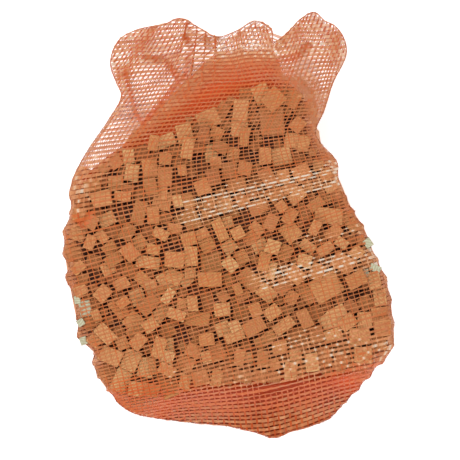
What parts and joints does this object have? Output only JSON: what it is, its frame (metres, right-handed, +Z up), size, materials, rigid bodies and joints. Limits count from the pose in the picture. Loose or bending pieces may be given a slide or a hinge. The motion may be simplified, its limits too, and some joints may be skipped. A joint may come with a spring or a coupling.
{
  "type": "net sack of kindling",
  "caption": "Woven net sack packed tight with split kindling, lying on its back with the sawn stick ends up, its gathered mouth spread in two ears.",
  "frame": {"origin": "on the floor under the middle of the sack's outline", "axes": "+Z up through the shown face, +Y towards the gathered mouth, +X to the right seen from above"},
  "size_m": [0.3804, 0.5, 0.18],
  "materials": {
    "wood": "matte",
    "net": "satin"
  },
  "bodies": {
    "root": {"firewood": "wood", "net": "net"}
  },
  "joints": []
}
